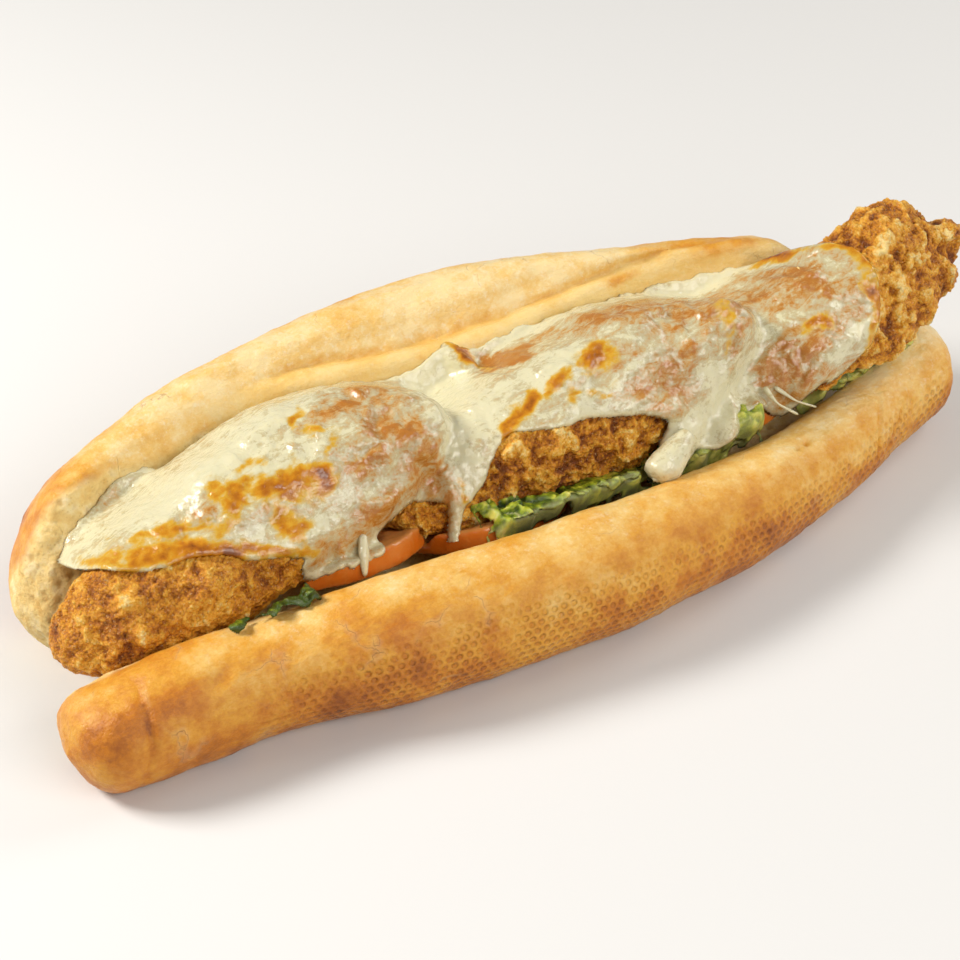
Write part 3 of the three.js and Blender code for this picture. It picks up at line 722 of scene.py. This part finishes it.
def tender_piece(node, seed, cragged, peaks=()):
    """A fried tender: lumps, then crags with sharp edges, then crumbs."""
    skin = remeshed(node)
    skin.smooth(10)
    for x, y, z, size, rise in peaks:
        near = np.linalg.norm(skin.points - np.array([x, y, z]), axis=1)
        skin.swell(rise * smoothstep(size, 0.2 * size, near))
    points = skin.points
    drift = np.stack([rough(points, 5, seed + k) for k in range(3)], axis=1)
    warped = points + 1.6 * drift
    ridge = (1 - np.abs(noise(warped, 6.5, seed + 9))) ** 3
    near, _, own = granules(warped, 4.4, seed)
    crag = own * np.sqrt(np.clip(1 - (near / 0.78) ** 2, 0, 1))
    near, _, own = granules(warped, 1.9, seed + 20)
    crumb = (0.2 + 0.8 * own) * np.sqrt(np.clip(1 - (near / 0.7) ** 2, 0, 1))
    height = cragged * (1.3 * ridge + 1.3 * crag - 1.2)
    height += (0.9 + 0.4 * cragged) * rough(points, 10, seed + 31)
    uneven = np.clip(0.6 + 0.5 * noise(points, 8, seed + 34), 0.1, 1)
    height += (0.6 + 0.3 * cragged) * uneven * crumb
    height += (0.25 + 0.2 * cragged) * rough(points, 1.6, seed + 33)
    skin.swell(height)
    broad = skin.blurred(height, 90)
    # how far each point stands above its surroundings; the breading paint darkens the low places, partly as
    # painted shade
    raised = 0.5 + 0.42 * (height - broad) + 0.10 * (broad - height.mean())
    return skin, dict(raised=np.clip(raised, 0, 1))


# ---- draping ----

# The height given to places with nothing under them.
NOTHING = -60.0


def leaning(x, p, h):
    """Points from leaning coordinates."""
    return np.stack([x, p * LEAN_P[1] + h * LEAN_H[1], p * LEAN_P[2] + h * LEAN_H[2]], axis=-1)


def flat_points(x, p):
    """The places of a leaning grid as a list of points, for noise over it."""
    return np.stack([x, p, np.zeros_like(x)], axis=-1).reshape(-1, 3)


def heights_over(tree, x, p):
    """The highest surface of a tree at each place of a leaning grid."""
    start = 120.0
    highest = np.full(x.shape, NOTHING)
    down = Vector(-LEAN_H)
    for index in np.ndindex(x.shape):
        distance = tree.ray_cast(Vector(leaning(x[index], p[index], start)), down)[3]
        if distance is not None:
            highest[index] = start - distance
    return highest


def blurred(values, radius):
    """A grid softened by about `radius` cells."""
    soft = values.copy()
    for _ in range(max(1, round(radius**2))):
        padded = np.pad(soft, 1, mode="edge")
        beside = padded[:-2, 1:-1] + padded[2:, 1:-1] + padded[1:-1, :-2] + padded[1:-1, 2:]
        soft = 0.25 * soft + 0.125 * beside
        soft += 0.0625 * (padded[:-2, :-2] + padded[2:, 2:] + padded[:-2, 2:] + padded[2:, :-2])
    return soft


def slackened(values, fall, rounds=40):
    """A grid of heights with no fall steeper than `fall` a cell, as a soft sheet bridges a hollow."""
    soft = values.copy()
    for _ in range(rounds):
        padded = np.pad(soft, 1, mode="edge")
        for dx, dp in itertools.product((0, 1, 2), repeat=2):
            drop = fall * math.hypot(dx - 1, dp - 1)
            neighbour = padded[dx:dx + soft.shape[0], dp:dp + soft.shape[1]]
            soft = np.maximum(soft, neighbour - drop)
    return soft


# ---- the cheese ----

# The distance between the places of the sheet's grid.
CELL = 0.5
# How far below the top of the CAD cheese the sheet may hang, and the steepest fall that it takes.
SAG = 3.5
STEEPEST = 2.4
# Browned patches: (x, p, length, width, turn in degrees, strength).
BROWNED = [
    (-84, 35, 9, 4, 10, 0.6), (-93, 28, 10, 9, 30, 1.0), (-97, 32, 9, 5, 40, 0.7),
    (-79, 26.5, 22, 8, 0, 1.0), (-70, 24, 10, 9, 20, 0.85), (-64, 30, 8, 4, 60, 0.55),
    (-83, 16.5, 9, 9, 0, 0.85), (-88, 31, 6, 4, 0, 0.6), (-67, 43, 7, 4, 40, 0.7),
    (-66, 37, 6, 4, 0, 0.5), (-101, 22, 14, 5, 10, 0.55), (-118, 22, 30, 8, -18, 0.9),
    (-104, 16, 30, 7, -22, 1.0), (-129, 27, 10, 5, -20, 0.7), (-115, 28, 18, 5, -10, 0.75),
    (-95, 13, 22, 5, -24, 0.85), (-84, 8.5, 16, 4, -20, 0.6), (-106, 25, 9, 3, 0, 0.6),
    (61, 23, 12, 7, 75, 0.5), (-12, 18, 14, 6, 62, 0.95), (-6, 22, 10, 5, 45, 0.9),
    (4, 24, 12, 5, 20, 0.95), (7, 19, 6, 4, 0, 0.5), (17, 17, 9, 3.5, 0, 0.5),
    (19, 27, 12, 8, 10, 1.0), (14, 22.5, 5, 3, 0, 0.4), (60, 18, 12, 3, 60, 0.45),
    (92, 11.5, 10, 5, 8, 0.9), (112, 24, 18, 4, 95, 0.8), (111, 30, 12, 4, 130, 0.8),
    (110, 11, 18, 5, 95, 1.0), (106, 3, 10, 4, 60, 0.8), (-2, 47, 15, 4.5, 95, 1.0),
    (101, 38, 9, 5, 0, 0.9), (66, 33, 10, 3, 0, 0.3), (-30, 6, 6, 3, 60, 0.6),
]
# Where the sheet is thin and near the breading's colour: (x, p, length, width, turn, strength).
THIN = [
    (-42, 32, 20, 22, 0, 1.0), (-38, 16, 16, 20, 0, 1.0), (-62, 10, 30, 10, 10, 0.8),
    (-54, 22, 18, 12, 0, 0.7), (-52, 43, 26, 8, 5, 0.8), (-108, 28, 22, 8, 12, 0.65),
    (-88, 21, 16, 6, 0, 0.4), (40, 38, 50, 9, -12, 0.75), (54, 28, 34, 16, -20, 0.9),
    (62, 18, 16, 18, 60, 1.0), (34, 13, 22, 14, 0, 0.9), (42, 6, 16, 14, 30, 1.0),
    (24, 23, 14, 8, 0, 0.5), (94, 26, 34, 18, -10, 0.85), (82, 4, 30, 14, 10, 1.0),
    (72, 7, 16, 8, 0, 0.9), (104, 14, 10, 18, 0, 0.6), (84, 34, 26, 6, -10, 0.6),
    (7, 40, 17, 5, 6, 2.4), (-124, 33, 14, 5, -10, 0.4),
]
# Where it is thickest and milky: (x, p, length, width, turn, strength).
THICK = [
    (-98, 40, 76, 12, 14, 1.2), (26, -9, 18, 9, 0, 1.3), (50, 0, 24, 14, 60, 1.2),
    (-84, 32, 30, 8, 0, 0.5), (-80, 12, 28, 6, 0, 0.8), (-62, 34, 26, 5, 10, 0.6),
    (-20, 29, 30, 26, 0, 1.0), (2, 29, 34, 12, 8, 0.8), (-28, 13, 9, 26, 0, 0.9),
    (14, 11, 26, 4, 0, 0.6), (28, 20, 20, 3, 20, 0.6), (44, 2, 36, 12, 48, 1.0),
    (64, 8, 12, 24, 0, 0.9), (74, 16, 26, 5, 0, 0.7), (97, 3, 22, 6, 12, 1.0),
    (-12, 46, 22, 12, 0, 1.0), (82, 42, 44, 6, 0, 1.0), (30, 46, 40, 4, -4, 0.7),
    (86, 18, 40, 4, -15, 0.5), (58, 33, 30, 3, -20, 0.4),
]
# Where the sheet runs out over the bread and the slices beyond it: (x, p, length, width, turn).
POOLS = [
    (-118, 41.5, 40, 11, 26), (-92, 47, 34, 9, 14), (-78, 3.5, 13, 7, -20),
    (-66, 3.5, 15, 9, 0), (76, 42, 60, 8, -8), (30, 45, 60, 8, -3), (-45, 49, 40, 8, 0),
    (-66, 50, 34, 9, 6),
]
# Drips and threads of cheese: their paths, and their radii along them.
DRIPS = [
    ([(37, -37.5, 40), (31, -39.8, 37), (25.5, -41.6, 34.6), (20.5, -41.8, 33.8)], (2.6, 4.4, 5.4, 4.0)),
    ([(-64, -23, 38), (-66, -26.5, 34.5), (-68, -30, 29.5)], (1.2, 1.6, 0.7)),
    ([(69, -32, 40), (71, -36, 35.5), (77, -39, 31)], (1.1, 0.35, 0.5)),
    ([(73, -32, 38.5), (78, -36.5, 34), (85, -38, 30)], (0.9, 0.3, 0.4)),
]


def spots(x, p, table, seed):
    """How strongly each place is inside one of a table's patches, with ragged edges."""
    points = flat_points(x, p)
    ragged_x = x + 2.0 * rough(points, 6, seed).reshape(x.shape)
    ragged_p = p + 2.0 * rough(points, 6, seed + 3).reshape(x.shape)
    result = np.zeros_like(x)
    for spot_x, spot_p, length, width, turn, strength in table:
        far = ellipse(ragged_x - spot_x, ragged_p - spot_p, length, width, turn)
        result = np.maximum(result, strength * smoothstep(1.75, 0.1, far))
    return result


def distance_inside(mask):
    """For each place of a grid, about how many cells it is inside (or, below 0, outside) a mask."""
    limit = 14
    inside, outside = mask * float(limit), ~mask * float(limit)
    for field in (inside, outside):
        for _ in range(limit):
            padded = np.pad(field, 1)
            for dx, dp in itertools.product((0, 1, 2), repeat=2):
                step = math.hypot(dx - 1, dp - 1)
                neighbour = padded[dx:dx + field.shape[0], dp:dp + field.shape[1]]
                np.minimum(field, neighbour + step, out=field)
    return inside - outside


def leaning_grid(skin, cell):
    """A grid of places over a skin, seen along the leaning frame's h."""
    margin = 3
    slopes = skin.points @ LEAN_P
    xs = np.arange(skin.points[:, 0].min() - margin, skin.points[:, 0].max() + margin, cell)
    ps = np.arange(slopes.min() - margin, slopes.max() + margin, cell)
    return np.meshgrid(xs, ps, indexing="ij")


def sheet(x, p, top, bottom, edge, cell):
    """A closed sheet between two heights, out to where `edge`, a distance, falls to 0.

    It also gives a function that carries a grid of values to the sheet's points.
    """
    kept = edge > -0.4 * cell
    cells = kept[:-1, :-1] & kept[1:, :-1] & kept[:-1, 1:] & kept[1:, 1:]
    used = np.zeros_like(kept)
    whole = np.ones_like(kept)
    for dx, dp in itertools.product((0, 1), repeat=2):
        used[dx:dx + cells.shape[0], dp:dp + cells.shape[1]] |= cells
    padded = np.pad(cells, 1)
    for dx, dp in itertools.product((0, 1), repeat=2):
        whole &= padded[dx:dx + kept.shape[0], dp:dp + kept.shape[1]]
    slope_x, slope_p = np.gradient(blurred(edge, 1.0), cell)
    pull = np.where(used & ~whole, np.clip(edge, -1.2 * cell, 1.2 * cell), 0)
    pull = pull / (slope_x**2 + slope_p**2 + 0.3)
    x, p = x - pull * slope_x, p - pull * slope_p

    upper = -np.ones(kept.shape, dtype=int)
    upper[used] = np.arange(used.sum())
    lower = upper.copy()
    inner = used & whole
    lower[inner] = used.sum() + np.arange(inner.sum())
    points = np.concatenate([leaning(x, p, top)[used], leaning(x, p, bottom)[inner]])
    i, j = np.nonzero(cells)
    ring = [(i, j), (i + 1, j), (i + 1, j + 1), (i, j + 1)]
    faces = [np.stack([upper[place] for place in ring], axis=1)]
    faces.append(np.stack([lower[place] for place in reversed(ring)], axis=1))
    skin = Skin(points, np.concatenate(faces))
    skin.smooth(1, 0.4)
    return skin, lambda values: np.concatenate([values[used], values[inner]])


def cheese_edge(cad, x, p, flecks):
    """How far inside the sheet's edge each place is: the CAD cheese's outline, wavering, and the pools."""
    edge = blurred(distance_inside(cad > NOTHING), 2.0) * CELL
    edge += 0.6 * flecks(8, 51) + 0.2 * flecks(2.5, 52)
    sway_x, sway_p = 2 * flecks(9, 50), flecks(5, 49)
    for pool_x, pool_p, length, width, turn in POOLS:
        far = ellipse(x - pool_x + sway_x, p - pool_p + sway_p, length, width, turn)
        edge = np.maximum(edge, (1 - far) * 0.5 * width)
    return edge


def curds(flat, shape):
    """Rounded lumps of two sizes over a grid."""
    stirred = flat + 2.0 * np.stack([rough(flat, 6, 61), rough(flat, 6, 62), 0 * flat[:, 0]], axis=1)
    near, _, own = granules(stirred, 7.0, 63)
    small, _, small_own = granules(stirred, 3.2, 64)
    lumps = 3.0 * (0.25 + 0.75 * own) * np.clip(1 - (near / 0.8) ** 2, 0, 1)
    lumps += 0.9 * small_own * np.clip(1 - (small / 0.75) ** 2, 0, 1)
    return blurred(lumps.reshape(shape), 1.0)


def cheese_piece(below):
    """The melted sheet, laid over the pieces below, out to the CAD cheese's outline and the pools."""
    solid = remeshed("cheese")
    x, p = leaning_grid(solid, CELL)
    flat = flat_points(x, p)

    def flecks(size, seed):
        return rough(flat, size, seed).reshape(x.shape)

    cad = heights_over(tree_of([solid]), x, p)
    edge = cheese_edge(cad, x, p, flecks)
    covered = heights_over(tree_of(below), x, p)
    support = np.maximum(covered, np.where(cad > NOTHING, cad - SAG, NOTHING))
    hung = slackened(support, STEEPEST * CELL)
    thin = spots(x, p, THIN, seed=53)
    thick = spots(x, p, THICK, seed=55)

    # the top: hollows filled where it is thick, close to what lies below where it is thin
    filled = blurred(hung, 5) + 0.5 - 1.6 * thin + 0.9 * thick
    close = blurred(hung, 0.9) + 0.7 + 0.4 * thick
    sharp = 0.8
    top = sharp * np.logaddexp(filled / sharp, close / sharp) - 0.3 * thin
    lumps = curds(flat, x.shape)
    top += 0.5 * thick * flecks(7, 54) + (0.12 + 0.88 * thin) * lumps - 0.4 * thin
    top = np.maximum(top, blurred(hung, 0.9) + 0.5)

    # the bottom: just into what lies close below, and down to the bread behind the tenders
    thickness = top - blurred(hung, 0.7)
    bottom = top - np.clip(thickness, 1.0, 2.6) - 0.3
    behind = smoothstep(38, 43, p) * smoothstep(7, 2, edge)
    bottom += behind * np.clip(blurred(covered, 1.5) - 0.5 - bottom, -14, 0)
    lip = 1.4
    rounding = np.sqrt(np.clip(1 - (1 - np.clip(edge / lip, 0, 1)) ** 2, 0, 1))
    top = bottom + (top - bottom) * rounding
    melted, carried = sheet(x, p, top, bottom, edge, CELL)

    bumps = blurred(hung, 1.0) - blurred(hung, 5.0) + thin * (lumps - 0.9)
    depth = 0.72 + 0.6 * thick - 0.58 * thin - 0.14 * np.clip(bumps, -2, 2) + 0.16 * flecks(11, 56)
    depth += 0.25 * smoothstep(2.2, 0.4, edge)
    brown = spots(x, p, BROWNED, seed=57) * (0.88 + 0.3 * flecks(4, 58))
    drips = [strand(path, radii) for path, radii in DRIPS]
    beyond = sum(len(drip.points) for drip in drips)
    milky = 1.1
    fields = dict(
        depth=np.append(carried(np.clip(depth, -0.3, 1.4)), np.full(beyond, milky)),
        brown=np.append(carried(brown), np.zeros(beyond)),
    )
    return joined([melted, *drips]), fields


# ---- tomato and lettuce ----

def tomato_piece(node):
    """A slice of tomato, its skin found round the rim, square to the slice's own axis."""
    skin = remeshed(node)
    skin.smooth(6)
    middle = skin.points.mean(axis=0)
    across = skin.points - middle
    axis = np.linalg.svd(across[::7], full_matrices=False)[2][2]
    flat = across - (across @ axis)[:, None] * axis
    rim = np.linalg.norm(flat, axis=1)
    side = 1 - np.abs(skin.normals() @ axis)
    skin.swell(0.25 * rough(skin.points, 6, seed=71))
    return skin, dict(rind=np.clip(side, 0, 1) * smoothstep(0.3, 0.8, rim / rim.max()))


def ruffle(solid, seed, rise, grown):
    """One ruffled layer of a leaf, within the outline of its CAD solid or a little beyond it."""
    cell = 0.42
    x, p = leaning_grid(solid, cell)
    flat = flat_points(x, p)
    cad = heights_over(tree_of([solid]), x, p)
    edge = blurred(distance_inside(cad > NOTHING), 1.5) * cell + grown
    edge += 1.2 * rough(flat, 4, seed).reshape(x.shape)
    edge += 1.6 * noise(flat, 13, seed + 5).reshape(x.shape)
    slopes = solid.points @ LEAN_P
    free = smoothstep(np.percentile(slopes, 20), np.percentile(slopes, 90), p)
    base = blurred(np.where(cad > NOTHING, cad, blurred(np.maximum(cad, cad.max() - 14), 6)), 3.5)
    drift = np.stack([rough(flat, 12, seed + k) for k in (11, 12, 13)], axis=1)
    warped = flat * (1, 0.8, 1) + 5 * drift
    folds = 1 - 2.4 * np.abs(noise(warped, 10, seed + 1)) ** 0.8 + 0.7 * rough(warped, 4.5, seed + 6)
    folds = folds.reshape(x.shape)
    crinkle = rough(warped, 2.2, seed + 2).reshape(x.shape)
    top = base + rise + (0.7 + 1.3 * free) * folds + 0.7 * crinkle
    thickness = 0.5 * np.sqrt(np.clip(edge / 0.8, 0.05, 1))
    skin, carried = sheet(x, p, top, top - thickness, edge, cell)
    rib = smoothstep(0.07, 0.0, np.abs(noise(warped, 11, seed + 4))).reshape(x.shape) * 0.7
    rib = np.maximum(rib, 0.3 * smoothstep(0.5, 0.0, free))
    shade = noise(flat, 15, seed + 7).reshape(x.shape)
    # painted light on the crests of folds and crinkles, painted shade in broad patches, and lighter towards
    # the free edge
    light = 0.30 + 0.26 * folds + 0.45 * crinkle + 0.15 * free + 0.4 * shade
    return skin, carried(rib), carried(light)


def lettuce_piece(node, seed, grown, light):
    """A leaf of two ruffled layers."""
    solid = remeshed(node)
    under, under_rib, under_light = ruffle(solid, seed, 0.2, grown)
    over, over_rib, over_light = ruffle(solid, seed + 50, 1.6, grown - 2.2)
    # the under layer is painted 0.12 darker as painted shade, and each leaf's own painted light is added,
    # painted shade where it is below 0
    bright = np.append(under_light - 0.12, over_light) + light
    fields = dict(rib=np.append(under_rib, over_rib) * smoothstep(-0.4, 0, light), light=bright)
    return joined([under, over]), fields


# ---- all the pieces ----

TENDERS = {
    "left": dict(seed=101, cragged=0.5, peaks=KNUCKLES),
    "middle": dict(seed=202, cragged=0.95, peaks=NOSE),
    "right": dict(seed=303, cragged=1.0, peaks=FREE_END),
}
# light: painted light added to each whole leaf, painted shade where it is below 0
LEAVES = {
    1: dict(seed=401, grown=-1.3, light=-0.35),
    2: dict(seed=402, grown=1.4, light=0.22),
    3: dict(seed=403, grown=2.4, light=0.32),
    4: dict(seed=404, grown=1.0, light=0.25),
}


def build_sandwich():
    bread, breading, cheese = bread_paint(), breading_paint(), cheese_paint()
    tomato, lettuce = tomato_paint(), lettuce_paint()
    roll, roll_fields = roll_piece()
    piece("roll_baked", roll, bread, ["roll"], "bread", **roll_fields)
    below = [roll]
    for side, shape in TENDERS.items():
        skin, fields = tender_piece(f"chicken_{side}", **shape)
        piece(f"tender_{side}", skin, breading, [f"chicken_{side}"], "breaded_chicken", **fields)
        below.append(skin)
    for number in (1, 2, 3, 4):
        skin, fields = tomato_piece(f"tomato_{number}")
        piece(f"slice_{number}", skin, tomato, [f"tomato_{number}"], "tomato", **fields)
        below.append(skin)
    for number, shape in LEAVES.items():
        skin, fields = lettuce_piece(f"lettuce_{number}", **shape)
        piece(f"leaf_{number}", skin, lettuce, [f"lettuce_{number}"], "lettuce", **fields)
    skin, fields = cheese_piece(below)
    piece("cheese_melted", skin, cheese, ["cheese"], "melted_cheese", **fields)


# ---- stage, light and camera ----

def build_stage():
    """A plain pale floor, 6 m across."""
    half = 3.0
    mesh = bpy.data.meshes.new("floor")
    corners = [(-half, -half, 0), (half, -half, 0), (half, half, 0), (-half, half, 0)]
    mesh.from_pydata(corners, [], [(0, 1, 2, 3)])
    floor = bpy.data.objects.new("floor", mesh)
    bpy.context.scene.collection.objects.link(floor)
    paint = Paint("floor")
    normal = paint.bump(paint.noise(3, detail=2), 0.02)
    mesh.materials.append(paint.finish((0.72, 0.71, 0.69), 0.8, normal))


def area_light(name, place, size, power, color):
    """A rectangular light that faces the middle of the scene, in metres and watts."""
    light = bpy.data.lights.new(name, "AREA")
    light.shape = "RECTANGLE"
    light.size, light.size_y = size
    light.energy = power
    light.color = color
    obj = bpy.data.objects.new(name, light)
    obj.location = place
    obj.rotation_euler = (-Vector(place)).to_track_quat("-Z", "Y").to_euler()
    bpy.context.scene.collection.objects.link(obj)


def build_lights():
    area_light("key", (-0.70, 0.50, 0.72), size=(0.4, 0.3), power=13.5, color=(1.0, 0.98, 0.95))
    area_light("fill", (0.1, -1.0, 0.75), size=(1.0, 0.6), power=8.8, color=(1.0, 0.98, 0.96))
    area_light("side", (0.95, -0.1, 0.6), size=(0.5, 0.5), power=3.8, color=(1.0, 0.99, 0.97))
    world = bpy.data.worlds.new("studio")
    world.use_nodes = True
    background = world.node_tree.nodes["Background"]
    background.inputs["Color"].default_value = (1.0, 0.985, 0.96, 1.0)
    background.inputs["Strength"].default_value = 0.22
    bpy.context.scene.world = world
    bpy.context.scene.view_settings.view_transform = "Standard"


# The photo's camera: its place in the frame of the numbers above, its axes and its lens.
CAMERA_AT = (-348.7, -496.7, 457.0)
LOOKS_ALONG = (0.45595, 0.66812, -0.58798)
CAMERA_UP = (0.33461, 0.48350, 0.80887)
LENS_MM = 95.81
SENSOR_MM = 36


def build_camera():
    camera = bpy.data.objects.new("camera", bpy.data.cameras.new("camera"))
    back = -Vector(LOOKS_ALONG).normalized()
    right = Vector(CAMERA_UP).cross(back).normalized()
    up = back.cross(right)
    turn = Matrix((right, up, back)).transposed().to_4x4()
    camera.matrix_world = Matrix.Translation(Vector(ZERO + CAMERA_AT) * MM) @ turn
    camera.data.lens = LENS_MM
    camera.data.sensor_width = SENSOR_MM
    bpy.context.scene.collection.objects.link(camera)
    bpy.context.scene.camera = camera


build_camera()
build_stage()
build_lights()
build_sandwich()
